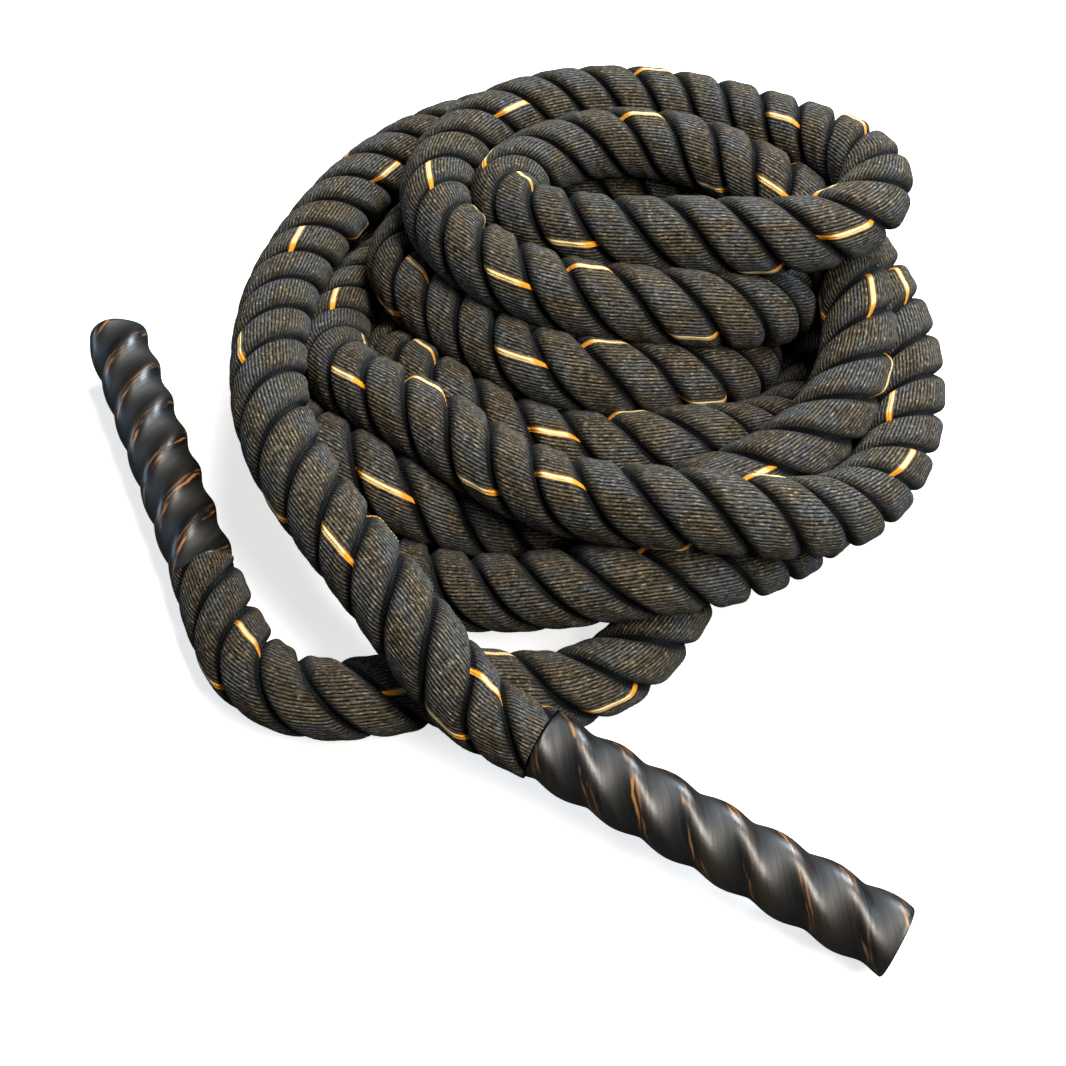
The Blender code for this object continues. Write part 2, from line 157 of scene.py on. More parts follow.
# Noise cells along a metre of the sleeve, and across a lobe
STREAK_CELLS = (64.6, 5.0)
WANDER_CELLS = (60.8, 1.6)
HAZE_CELLS = (26.6, 1.5)
THREAD_CELLS = (34.2, 15.0)
# Layers of the noise, so that no two patterns are alike
WANDER_LAYER = 0.0
HAZE_LAYER = 4.0
THREAD_LAYER = 2.0
# Scale, detail and roughness
FINE_NOISE = (420.0, 2.0, 0.6)
# Brown streaks along each lobe: middle and reach across it, and strength
STREAKS = ((0.14, 0.050, 1.0), (0.03, 0.045, 0.45))
STREAK_CORE = 0.008
STREAK_WANDER = 0.26
STREAK_MASK = (0.44, 0.62)
HAZE_MASK = (0.42, 0.66)
VALLEY_MASK = (0.16, 0.40)
VALLEY_SHADE = 0.9
VALLEY_ROUGHNESS = 0.25
TUBE_SPECULAR = 0.90
TUBE_ROUGHNESS = (0.35, 0.70, 0.34, 0.42)
THREAD_BUMP = 0.0002
FINE_BUMP = 0.00015
TUBE_BUMP_STRENGTH = 0.5

# Where a mix node holds its colours, among its sockets
MIX_FIRST_COLOUR = 6
MIX_SECOND_COLOUR = 7
MIX_COLOUR = 2

# The floor: what the camera sees, what it throws back on the undersides, and its painted shadow inside
# the coil
WHITE = (1, 1, 1, 1)
FLOOR_SIZE = 12.0
FLOOR_LIFT = 0.73
FLOOR_SURFACE = {"Roughness": 0.9, "Specular IOR Level": 0.1, "Emission Color": WHITE}
FLOOR_SHOWN = (0.80, 0.80, 0.81, 1)
FLOOR_THROWN = (0.06, 0.06, 0.06, 1)
# Painted shadow on the floor inside the coil
COIL_PAINTED_SHADOW = (0.02, 0.02, 0.02, 1)
COIL_CENTRE = (0.05, 0.13)
COIL_HOLE = (0.23, 0.235)
COIL_EDGE = (0.90, 1.10)

# Lamps: place, size, power in watts, colour, and turn in the lamp's own plane
WORLD_LIGHT = 0.04
LAMP_AIM = (0.0, 0.0, 0.1)
LAMPS = {
    "key": ((0.65, -0.35, 1.90), (0.45, 2.6), 74.0, (1.0, 0.94, 0.85), math.radians(25)),
    "left": ((-1.6, 0.2, 0.50), (0.4, 0.6), 4.0, (0.50, 0.75, 1.0), 0.0),
    "right": ((1.6, -0.2, 0.75), (0.4, 0.6), 8.0, (0.50, 0.75, 1.0), 0.0),
    "back": ((0.74, 1.29, 1.11), (0.5, 0.4), 26.0, (0.78, 0.90, 1.0), 0.0),
}

# The route is written in rope diameters, chosen from the photograph.
# On the floor the heap's tube is cut flat, a tenth of the diameter deep.
FLOOR_HEIGHT = 0.40
TAIL_HEIGHT = 0.51
# The coil has about 24 points in an average loop.
POINT_SPACING = 0.93
TURN_SPACING = 1.08
SPACING_ROUNDS = 300
BEND_EASE = 0.05
LAST_BEND_EASE = 0.005
ROUTE_PULL = 0.04
PULLED_ROUNDS = 240
PUSH_SHARE = 0.9
OWN_REACH = 2.2
FINE_STEPS = 8
TINY = 1e-9

# Sleeve A lies at the left, sleeve B at the front right. Each runs from its far end to its mouth.
SLEEVE_A_FAR = (-7.88, 0.95, 0.74)
SLEEVE_A_MOUTH = (-5.82, -3.68, 0.55)
SLEEVE_B_MOUTH = (-0.90, -6.80, 1.10)
SLEEVE_B_FAR = (3.54, -9.26, 0.52)

TAIL_A = (
    (-4.36, -4.50, 0.51), (-3.84, -4.98, 0.51), (-3.34, -5.54, 0.51), (-2.80, -6.16, 0.50),
    (-2.10, -6.32, 0.45),
)

# One row of stations for each turn, from the front round by the right, the back and the left
TURNS = (
    # Turn 1 lies on the floor, inside the others at the back
    (
        (-1.35, -6.05, 0.40), (-0.77, -5.76, 0.40), (-0.32, -5.34, 0.40), (0.02, -4.82, 0.40),
        (0.50, -4.20, 0.40), (1.02, -3.50, 0.40), (1.35, -2.60, 0.40), (1.15, -1.70, 0.40),
        (0.35, -1.10, 0.40), (-0.70, -0.90, 0.40), (-1.80, -0.80, 0.40), (-2.80, -0.90, 0.40),
        (-3.50, -1.50, 0.40), (-3.65, -2.50, 0.40),
    ),
    # Turn 2 crosses over the first at the front and then runs round the outside on the floor
    (
        (-3.00, -3.15, 0.45), (-2.50, -3.44, 0.50), (-1.85, -3.76, 0.65), (-1.20, -3.96, 0.85),
        (-0.50, -4.20, 1.10), (0.20, -4.42, 1.38), (0.85, -4.45, 1.40), (1.40, -4.20, 1.30),
        (2.05, -3.70, 1.00), (2.85, -3.10, 0.60), (3.50, -2.60, 0.40), (4.15, -1.80, 0.40),
        (4.54, -0.80, 0.40), (4.65, 0.40, 0.40), (4.60, 1.60, 0.40), (4.42, 2.80, 0.40),
        (3.90, 4.10, 0.40), (3.00, 5.05, 0.40), (1.90, 5.60, 0.40), (0.60, 5.80, 0.40),
        (-0.70, 5.75, 0.40), (-2.00, 5.35, 0.40), (-3.20, 4.60, 0.40), (-4.10, 3.55, 0.40),
        (-4.65, 2.38, 0.40), (-4.86, 1.10, 0.40), (-4.76, -0.10, 0.55), (-4.46, -1.08, 0.95),
    ),
    # Turn 3 climbs from the floor at the front to the top at the back
    (
        (-4.00, -1.95, 1.35), (-3.50, -2.65, 1.35), (-2.75, -2.95, 1.00), (-1.95, -2.88, 0.55),
        (-1.20, -2.95, 0.50), (0.20, -2.80, 0.80), (1.10, -2.70, 1.35), (2.00, -2.75, 1.60),
        (2.60, -2.55, 1.70), (3.05, -2.25, 1.80), (3.50, -1.70, 1.90), (3.80, -1.05, 1.95),
        (4.00, -0.30, 2.00), (4.05, 0.55, 2.00), (3.80, 1.42, 2.00), (3.30, 2.18, 2.00),
        (2.80, 2.80, 2.05), (2.42, 3.34, 2.15), (2.05, 3.68, 2.25), (1.55, 3.78, 2.30),
        (0.95, 3.80, 2.30), (0.15, 3.70, 2.30), (-0.55, 3.45, 2.30), (-1.15, 3.05, 2.35),
        (-1.45, 2.35, 2.50), (-1.35, 1.60, 2.75),
    ),
    # Turn 4 is the top of the heap
    (
        (-0.90, 0.95, 2.95), (0.00, 0.62, 3.05), (0.75, 0.50, 3.05), (1.55, 0.46, 3.05),
        (2.30, 0.42, 3.05), (3.05, 0.38, 3.10), (3.75, 0.52, 3.10), (4.10, 0.72, 3.00),
        (4.05, 1.40, 2.85), (3.76, 2.22, 2.70), (3.36, 3.00, 2.55), (2.88, 3.80, 2.45),
        (2.46, 4.52, 2.40), (1.86, 4.94, 2.35), (1.05, 5.18, 2.35), (0.15, 5.16, 2.35),
        (-0.70, 5.03, 2.35), (-1.55, 4.55, 2.40), (-2.30, 3.75, 2.45), (-2.60, 2.60, 2.50),
        (-2.40, 1.55, 2.45),
    ),
    # Turn 5
    (
        (-1.85, 0.72, 2.42), (-1.20, 0.15, 2.45), (-0.60, -0.15, 2.45), (0.35, -0.38, 2.47),
        (0.95, -0.42, 2.47), (1.55, -0.38, 2.42), (2.30, -0.08, 2.20), (2.95, 0.60, 1.85),
        (3.25, 1.45, 1.50), (3.30, 2.40, 1.35), (2.60, 3.35, 1.25), (1.40, 3.85, 1.25),
        (0.00, 3.85, 1.25), (-1.30, 3.55, 1.25), (-2.30, 3.20, 1.25),
    ),
    # Turn 6
    (
        (-2.95, 2.85, 1.30), (-2.85, 1.80, 1.45), (-2.62, 0.70, 1.60), (-2.20, -0.20, 1.72),
        (-1.50, -0.75, 1.72), (-0.75, -1.08, 1.72), (0.00, -1.25, 1.72), (0.80, -1.30, 1.72),
        (1.55, -1.12, 1.65), (2.30, -0.62, 1.45), (3.00, 0.20, 1.20), (2.85, 1.05, 0.70),
        (2.55, 1.90, 0.40), (2.00, 2.75, 0.40), (1.10, 3.25, 0.40), (0.00, 3.30, 0.40),
        (-1.20, 3.00, 0.40), (-2.30, 2.70, 0.40), (-3.05, 2.50, 0.45),
    ),
    # Turn 7
    (
        (-3.55, 2.25, 0.60), (-3.40, 1.15, 0.80), (-3.05, 0.00, 0.95), (-2.55, -0.80, 0.95),
        (-2.10, -1.25, 0.90), (-1.50, -1.50, 0.85), (-0.90, -1.66, 0.80), (0.00, -1.78, 0.75),
        (0.75, -1.75, 0.70), (1.55, -1.48, 0.65), (2.30, -0.90, 0.60), (3.00, 0.00, 0.50),
        (3.50, 0.65, 0.40), (3.65, 1.70, 0.40), (3.50, 2.70, 0.40), (2.90, 3.70, 0.40),
        (1.90, 4.35, 0.40), (0.80, 4.55, 0.40), (-0.50, 4.45, 0.40), (-1.80, 4.10, 0.40),
        (-2.95, 3.55, 0.40), (-3.88, 2.85, 0.40), (-4.28, 1.88, 0.45),
    ),
    # Turn 8 is the outermost at the front and at the right, and lies on the second at the back
    (
        (-4.20, 0.68, 0.75), (-3.98, -0.42, 1.15), (-3.55, -1.40, 1.40), (-2.80, -2.30, 1.60),
        (-1.90, -3.05, 1.70), (-1.20, -3.40, 1.75), (-0.60, -3.60, 1.80), (-0.05, -3.75, 1.90),
        (0.60, -4.10, 2.10), (1.25, -4.30, 2.20), (1.90, -4.25, 2.15), (2.65, -3.90, 1.95),
        (3.48, -3.38, 1.65), (4.08, -2.72, 1.50), (4.48, -1.95, 1.45), (4.63, -1.10, 1.40),
        (4.64, -0.25, 1.40), (4.57, 0.60, 1.40), (4.40, 1.40, 1.40), (4.17, 2.15, 1.40),
        (3.98, 3.50, 1.40), (3.25, 4.68, 1.40), (2.20, 5.38, 1.40), (0.90, 5.72, 1.40),
        (-0.40, 5.86, 1.40), (-1.62, 5.76, 1.40),
    ),
)

TAIL_B = (
    (-2.66, 5.46, 1.45), (-3.36, 4.67, 1.50), (-4.07, 3.73, 1.55), (-4.57, 2.67, 1.60),
    (-4.80, 1.55, 1.65), (-4.82, 0.40, 1.70), (-4.71, -0.70, 1.75), (-4.46, -1.75, 1.80),
    (-4.32, -2.76, 1.85), (-3.93, -3.70, 1.85), (-3.30, -4.38, 1.80), (-2.62, -4.98, 1.70),
    (-1.90, -5.44, 1.50),
)


def unit(vector):
    vector = np.asarray(vector, float)
    return vector / np.linalg.norm(vector)


# The rope's route

def stations():
    """The listed stations in order, from the mouth of sleeve A to the mouth of sleeve B."""
    mouth_a = np.array(SLEEVE_A_MOUTH)
    mouth_b = np.array(SLEEVE_B_MOUTH)
    leave_a = mouth_a + unit(mouth_a - SLEEVE_A_FAR)
    reach_b = mouth_b - unit(SLEEVE_B_FAR - mouth_b)
    rows = [mouth_a, leave_a, *TAIL_A]
    for turn in TURNS:
        rows.extend(turn)
    rows.extend([*TAIL_B, reach_b, mouth_b])
    return np.array(rows, float)


def smooth_curve(points, step):
    """Points spread evenly, about one step apart, on a cubic curve through the given ones."""
    gaps = np.linalg.norm(np.diff(points, axis=0), axis=1)
    rates = np.diff(points, axis=0) / gaps[:, None]
    slopes = np.empty_like(points)
    slopes[0] = rates[0]
    slopes[-1] = rates[-1]
    near, far = gaps[:-1, None], gaps[1:, None]
    slopes[1:-1] = (rates[:-1] * far + rates[1:] * near) / (near + far)
    fine = []
    for i, gap in enumerate(gaps):
        count = max(2, math.ceil(FINE_STEPS * gap / step))
        t = np.linspace(0.0, 1.0, count, endpoint=False)[:, None]
        start_place = 2 * t ** 3 - 3 * t ** 2 + 1
        start_slope = t ** 3 - 2 * t ** 2 + t
        end_slope = t ** 3 - t ** 2
        piece = start_place * points[i] + (1 - start_place) * points[i + 1]
        fine.append(piece + gap * (start_slope * slopes[i] + end_slope * slopes[i + 1]))
    fine = np.concatenate([*fine, points[-1:]])
    along = walked(fine)
    places = np.linspace(0.0, along[-1], max(2, round(along[-1] / step)) + 1)
    return np.stack([np.interp(places, along, fine[:, axis]) for axis in range(3)], axis=1)


def nearest_places(line):
    """For each pair of the line's segments: how far along each they are nearest, and the arrow."""
    start = line[:-1]
    run = np.diff(line, axis=0)
    first = (run * run).sum(axis=1)[:, None]
    second = first.T
    across = start[:, None, :] - start[None, :, :]
    both = run @ run.T
    on_first = (across * run[:, None, :]).sum(axis=2)
    on_second = (across * run[None, :, :]).sum(axis=2)
    square = first * second - both * both
    level = square < TINY
    s = np.where(level, 0.5, (both * on_second - on_first * second) / np.where(level, 1.0, square))
    s = np.clip(s, 0.0, 1.0)
    t = (both * s + on_second) / second
    s = np.where(t < 0.0, -on_first / first, np.where(t > 1.0, (both - on_first) / first, s))
    s = np.clip(s, 0.0, 1.0)
    t = np.clip(t, 0.0, 1.0)
    arrow = across + s[:, :, None] * run[:, None, :] - t[:, :, None] * run[None, :, :]
    return s, t, arrow


def later_pairs(count, step):
    """Which pairs of segments lie far enough apart along the rope to count as two parts of it."""
    index = np.arange(count)
    return (index[None, :] - index[:, None]) * step > OWN_REACH + step / 2


def keep_lengths(line, step, free):
    """Brings each segment back towards one step long, the even ones first."""
    for first in (0, 1):
        ahead = slice(first, -1, 2)
        behind = slice(first + 1, None, 2)
        run = line[behind] - line[ahead]
        length = np.linalg.norm(run, axis=1)
        move = run * ((length - step) / length / 4)[:, None]
        line[ahead] += move * free[ahead, None]
        line[behind] -= move * free[behind, None]


def space_turns(route, step):
    """Moves the turns off each other until they rest a little over one diameter apart."""
    line = route.copy()
    free = np.ones(len(line))
    free[:2] = 0.0
    free[-2:] = 0.0
    floor = np.where(np.arange(len(line)) <= len(TAIL_A), TAIL_HEIGHT, FLOOR_HEIGHT)
    pairs = later_pairs(len(line) - 1, step)
    for turn in range(SPACING_ROUNDS):
        ease = max(0.0, 1.0 - turn / PULLED_ROUNDS)
        bend = line[:-4] - 4 * line[1:-3] + 6 * line[2:-2] - 4 * line[3:-1] + line[4:]
        straighten = LAST_BEND_EASE + (BEND_EASE - LAST_BEND_EASE) * ease
        line[2:-2] -= bend * free[2:-2, None] * straighten
        line += (route - line) * (free[:, None] * ROUTE_PULL * ease)
        keep_lengths(line, step, free)
        s, t, arrow = nearest_places(line)
        distance = np.linalg.norm(arrow, axis=2) + TINY
        short = np.where(pairs, np.clip(TURN_SPACING - distance, 0.0, None), 0.0)
        push = arrow * (short / distance / 2)[:, :, None]
        move = np.zeros_like(line)
        move[:-1] += (push * (1 - s)[:, :, None]).sum(axis=1)
        move[1:] += (push * s[:, :, None]).sum(axis=1)
        move[:-1] -= (push * (1 - t)[:, :, None]).sum(axis=0)
        move[1:] -= (push * t[:, :, None]).sum(axis=0)
        line += PUSH_SHARE * move * free[:, None]
        line[:, 2] = np.maximum(line[:, 2], floor)
    return line


def least_distance(line, step):
    """Least distance between two parts of the rope's centre line."""
    arrow = nearest_places(line)[2]
    distance = np.linalg.norm(arrow, axis=2)
    return distance[later_pairs(len(distance), step)].min()


def rope_line():
    """The rope's centre line in metres, from the mouth of sleeve A to the mouth of sleeve B."""
    rows = stations()
    route = smooth_curve(rows, POINT_SPACING)
    step = np.linalg.norm(np.diff(route, axis=0), axis=1).mean()
    # The rope leaves each sleeve in a straight line.
    route[1] = route[0] + step * unit(rows[1] - rows[0])
    route[-2] = route[-1] + step * unit(rows[-2] - rows[-1])
    line = space_turns(route, step)
    length = np.linalg.norm(np.diff(line, axis=0), axis=1).sum() * ROPE_DIAMETER
    gap = (least_distance(line, step) - 1.0) * ROPE_DIAMETER
    print("rope between the sleeves: %.3f m" % length)
    print("rope from end to end: %.3f m" % (length + 2 * (SLEEVE_LENGTH - END_RECESS)))
    print("least gap between two turns of the tube: %.2f mm" % (gap * 1000))
    return line * ROPE_DIAMETER


# Frames along the rope

def frames(line, first_side):
    """Directions along and across the line, carried along it without any twist of their own."""
    along = np.gradient(line, axis=0)
    along /= np.linalg.norm(along, axis=1)[:, None]
    side = np.empty_like(line)
    side[0] = unit(first_side - along[0] * np.dot(first_side, along[0]))
    for i in range(1, len(line)):
        carried = side[i - 1] - along[i] * np.dot(side[i - 1], along[i])
        side[i] = unit(carried)
    return along, side, np.cross(along, side)


def axes(along):
    """Two directions square to a sleeve's axis, the second one the nearer to upright."""
    side = unit(np.cross((0.0, 0.0, 1.0), along))
    return side, np.cross(along, side)


def walked(line):
    """How far along the line each of its points lies."""
    return np.concatenate([[0.0], np.cumsum(np.linalg.norm(np.diff(line, axis=0), axis=1))])


# Meshes

def mesh_object(name, corners, faces, look, smooth=True):
    mesh = bpy.data.meshes.new(name)
    mesh.from_pydata(corners.tolist(), [], faces)
    mesh.materials.append(look)
    mesh.polygons.foreach_set("use_smooth", [smooth] * len(mesh.polygons))
    made = bpy.data.objects.new(name, mesh)
    bpy.context.scene.collection.objects.link(made)
    return made


def strand_section():
    """One strand's part of the rope's outline: angles, radii and shares of the way round it."""
    turns = np.linspace(-math.pi, math.pi, SECTION_STEPS + 1)
    centre = CREST_RADIUS - STRAND_RADIUS
    high, wide = np.cos(turns), np.sin(turns)
    across = centre + STRAND_RADIUS * np.sign(high) * np.abs(high) ** STRAND_FULLNESS
    beside = STRAND_HALF_WIDTH * np.sign(wide) * np.abs(wide) ** STRAND_FULLNESS
    round_it = walked(np.stack([across, beside], axis=1))
    share = round_it / round_it[-1] - 0.5
    # Corners spread evenly over the part that shows
    reach = np.interp(STRAND_ARC, turns, share)
    shown = np.linspace(-reach, reach, STRAND_POINTS)
    across = np.interp(shown, share, across)
    beside = np.interp(shown, share, beside)
    return np.arctan2(beside, across), np.hypot(across, beside), shown


def laid_corners(line, along_axes, twist, size, skin=None):
    """Corners of the three strands' outline round each point of the line, inside any skin."""
    side, up = along_axes
    angles, radii, _ = strand_section()
    angles = np.concatenate([angles + n * math.tau / STRANDS for n in range(STRANDS)])
    radii = size[:, None] * np.tile(radii, STRANDS)[None, :]
    if skin is not None:
        radii = np.minimum(radii, lobed_radius(angles, skin)[None, :])
    turned = angles[None, :] + twist[:, None]
    out = radii[:, :, None] * (
        np.cos(turned)[:, :, None] * side[:, None, :] + np.sin(turned)[:, :, None] * up[:, None, :]
    )
    return line[:, None, :] + out


def laid_mesh(name, line, along_axes, twist, size, look, floor=None, skin=None):
    """The three laid strands as one closed surface, with each corner's place among the yarns."""
    corners = laid_corners(line, along_axes, twist, size, skin)
    if floor is not None:
        low = corners[:, :, 2] - floor
        corners[:, :, 2] = floor + (low + np.sqrt(low * low + FLOOR_SOFTNESS ** 2)) / 2
    rings, sides = corners.shape[:2]
    ring = np.arange(rings - 1)[:, None] * sides
    k = np.arange(sides)[None, :]
    beside = (k + 1) % sides
    faces = np.stack([ring + k, ring + beside, ring + sides + beside, ring + sides + k], axis=2)
    faces = faces.reshape(-1, 4).tolist()
    # The ends inside a sleeve are closed. The free rope's meet them there.
    if skin is not None:
        faces.append(list(range(sides))[::-1])
        faces.append(list(range((rings - 1) * sides, rings * sides)))
    made = mesh_object(name, corners.reshape(-1, 3), faces, look)
    add_lay(made.data, walked(line), sides)
    if skin is None:
        add_bake_map(made.data, rings, sides)
    return made


def add_lay(mesh, places, sides):
    """Writes each face corner's strand, its yarn and its place along the rope."""
    share = np.tile(strand_section()[2], STRANDS)
    strand = np.repeat(np.arange(STRANDS), STRAND_POINTS)
    corner = np.empty(len(mesh.loops), int)
    mesh.loops.foreach_get("vertex_index", corner)
    ring, k = corner // sides, corner % sides
    yarn = share[k] + places[ring] / YARN_LAY
    lay = mesh.attributes.new("lay", "FLOAT_VECTOR", "CORNER")
    values = np.stack([yarn, places[ring], strand[k] + share[k]], axis=1)
    lay.data.foreach_set("vector", values.astype(np.float32).ravel())


def add_bake_map(mesh, rings, sides):
    """Lays the long rope out in a few rows, one above the other, in a UV map for baking."""
    ring, k = np.divmod(np.arange((rings - 1) * sides), sides)
    in_row = math.ceil((rings - 1) / BAKE_ROWS)
    row, start = np.divmod(ring, in_row)
    across = (start[:, None] + np.array((0, 0, 1, 1))) / in_row
    upward = (k[:, None] + np.array((0, 1, 1, 0))) / sides
    row_edge = BAKE_ROWS * BAKE_EDGE
    u = BAKE_EDGE + (1 - 2 * BAKE_EDGE) * across
    v = (row[:, None] + row_edge + (1 - 2 * row_edge) * upward) / BAKE_ROWS
    layer = mesh.uv_layers.new(name="OFBake")
    layer.data.foreach_set("uv", np.stack([u, v], axis=2).astype(np.float32).ravel())


# Building with shader nodes

class Look:
    """The node tree of a material or the world, with a call for each kind of node used here."""

    def __init__(self, tree):
        self.tree = tree

    def make(self, kind, **settings):
        made = self.tree.nodes.new(kind)
        for name, value in settings.items():
            setattr(made, name, value)
        return made

    def feed(self, socket, value):
        """Links the socket to another node's output, or sets it to a plain value."""
        if isinstance(value, bpy.types.NodeSocket):
            self.tree.links.new(value, socket)
        else:
            socket.default_value = value

    def feed_in_order(self, made, *values):
        for socket, value in zip(made.inputs, values):
            self.feed(socket, value)

    def feed_by_name(self, made, values):
        for name, value in values.items():
            self.feed(made.inputs[name], value)

    def maths(self, operation, *values):
        made = self.make("ShaderNodeMath", operation=operation)
        self.feed_in_order(made, *values)
        return made.outputs[0]

    def add(self, first, second):
        return self.maths("ADD", first, second)

    def subtract(self, first, second):
        return self.maths("SUBTRACT", first, second)

    def multiply(self, first, second):
        return self.maths("MULTIPLY", first, second)

    def divide(self, first, second):
        return self.maths("DIVIDE", first, second)

    def distance(self, first, second):
        return self.maths("ABSOLUTE", self.subtract(first, second))

    def mapped(self, value, low, high, to_low=0.0, to_high=1.0):
        """Goes from 0 to 1, or between the given ends, as the value goes from low to high."""
        made = self.make("ShaderNodeMapRange", interpolation_type="SMOOTHSTEP")
        self.feed_in_order(made, value, low, high, to_low, to_high)
        return made.outputs[0]

    def mixed(self, share, first, second):
        made = self.make("ShaderNodeMix", data_type="RGBA")
        self.feed(made.inputs["Factor"], share)
        self.feed(made.inputs[MIX_FIRST_COLOUR], first)
        self.feed(made.inputs[MIX_SECOND_COLOUR], second)
        return made.outputs[MIX_COLOUR]

    def noise(self, vector, scale=1.0, detail=2.0, roughness=0.5):
        made = self.make("ShaderNodeTexNoise")
        values = {"Vector": vector, "Scale": scale, "Detail": detail, "Roughness": roughness}
        self.feed_by_name(made, values)
        return made.outputs["Fac"]

    def combined(self, x, y, z):
        made = self.make("ShaderNodeCombineXYZ")
        self.feed_in_order(made, x, y, z)
        return made.outputs[0]

    def split(self, vector):
        made = self.make("ShaderNodeSeparateXYZ")
        self.feed_in_order(made, vector)
        return made.outputs

    def lay(self):
        """The three numbers that each face corner's "lay" attribute holds."""
        return self.split(self.make("ShaderNodeAttribute", attribute_name="lay").outputs["Vector"])

    def own_place(self):
        """Place in the object's own coordinates."""
        return self.make("ShaderNodeTexCoord").outputs["Object"]

    def seen(self):
        """1 where the camera looks straight at the surface, and 0 for all other light."""
        return self.make("ShaderNodeLightPath").outputs["Is Camera Ray"]

    def bumped(self, height, depth, strength=1.0, under=None):
        made = self.make("ShaderNodeBump")
        self.feed_by_name(made, {"Height": height, "Distance": depth, "Strength": strength})
        if under is not None:
            self.feed(made.inputs["Normal"], under)
        return made.outputs[0]


def new_material(name):
    made = bpy.data.materials.new(name)
    made.use_nodes = True
    return made, Look(made.node_tree), made.node_tree.nodes["Principled BSDF"]


# Materials

def tracers(look, yarn, strand):
    """Where a gold yarn lies, and how far each place is from the middle of the nearest one."""
    gold, off = 0.0, 1.0
    for own_strand, own_yarn, shown in TRACERS:
        turn = look.add(yarn, 0.5 - (own_yarn + 0.5) / YARNS_IN_STRAND)
        apart = look.distance(look.maths("FRACT", turn), 0.5)
        near = look.mapped(apart, TRACER_WIDTH / 2, TRACER_CORE / 2)
        in_strand = look.maths("LESS_THAN", look.distance(strand, own_strand), 0.5)
        # Each turn of the yarn round its strand comes to the surface or stays below it.
        chance = look.make("ShaderNodeTexWhiteNoise", noise_dimensions="1D")
        look.feed_by_name(chance, {"W": look.maths("FLOOR", turn)})
        at_surface = look.maths("LESS_THAN", chance.outputs["Value"], shown)
        on_yarn = look.multiply(look.multiply(near, in_strand), at_surface)
        gold = look.maths("MAXIMUM", gold, on_yarn)
        off = look.maths("MINIMUM", off, look.add(apart, look.subtract(1.0, on_yarn)))
    return gold, off


def rope_material():
    """Black polyester yarns along the rope, with a gold tracer yarn in two of the strands."""
    made, look, shader = new_material("laid_polyester")
    yarn, place, strand = look.lay()
    count = look.multiply(yarn, YARNS_IN_STRAND)
    within = look.maths("FRACT", count)
    number = look.maths("FLOOR", look.maths("MODULO", count, YARNS_IN_STRAND))
    which = look.maths("ROUND", strand)

    def grain(across, along, detail, roughness):
        spot = look.combined(look.multiply(count, across), look.multiply(place, along), which)
        return look.noise(spot, 1.0, detail, roughness)

    # Round yarns: high in the middle, low between two
    ridge = look.subtract(1.0, look.multiply(look.distance(within, 0.5), 2.0))
    ply_turns = look.add(look.multiply(place, PLY_TURNS), within)
    ply = look.maths("SINE", look.multiply(ply_turns, math.tau))
    tone_spot = look.combined(number, which, look.multiply(place, TONE_ALONG))
    own_tone = look.noise(tone_spot, *TONE_NOISE)
    fibres = grain(*FIBRE_NOISE)
    patches = grain(*PATCH_NOISE)
    uneven = grain(*GAP_SHADE_NOISE)
    gold, gold_off = tracers(look, yarn, strand)
    # Where the strand turns down towards the groove
    down = look.distance(strand, which)

    brown = look.mixed(look.mapped(own_tone, *TONE_MASK), *YARN_BROWNS)
    cool = look.mixed(look.mapped(patches, *PATCH_MASK), brown, YARN_COOL)
    worn = look.mixed(look.mapped(fibres, *WORN_MASK), cool, YARN_WORN)
    speckled = look.mixed(look.mapped(fibres, *SPECK_MASK), worn, YARN_SPECKS)
    # Painted shade darkens the creases between two yarns, more in some places than in others.
    gap = look.multiply(look.mapped(ridge, *GAP_SHADE_MASK), look.mapped(uneven, *GAP_SHADE_STRENGTH))
    yarns = look.mixed(gap, speckled, YARN_GAP_SHADE)
    shaded = look.mixed(look.mapped(down, *SHADE_MASK), yarns, STRAND_SHADE)
    # A painted black shadow fills each groove between two strands.
    groove_shadowed = look.mixed(look.mapped(down, *GROOVE_SHADOW_MASK), shaded, GROOVE_PAINTED_SHADOW)
    rim = look.mapped(gold_off, *[TRACER_WIDTH * share for share in GOLD_RIM])
    edge = look.maths("MAXIMUM", rim, look.mapped(down, *GOLD_END_MASK))
    tracer = look.mixed(edge, GOLD, GOLD_EDGE)

    plies = look.multiply(look.add(ply, 1.0), PLY_HEIGHT)
    rounded = look.add(look.maths("POWER", ridge, YARN_ROUNDNESS), plies)
    height = look.add(rounded, look.multiply(fibres, FIBRE_HEIGHT))
    look.feed_by_name(shader, ROPE_SURFACE)
    look.feed_by_name(shader, {
        "Base Color": look.mixed(gold, groove_shadowed, tracer),
        "Normal": look.bumped(height, YARN_BUMP),
    })
    return made


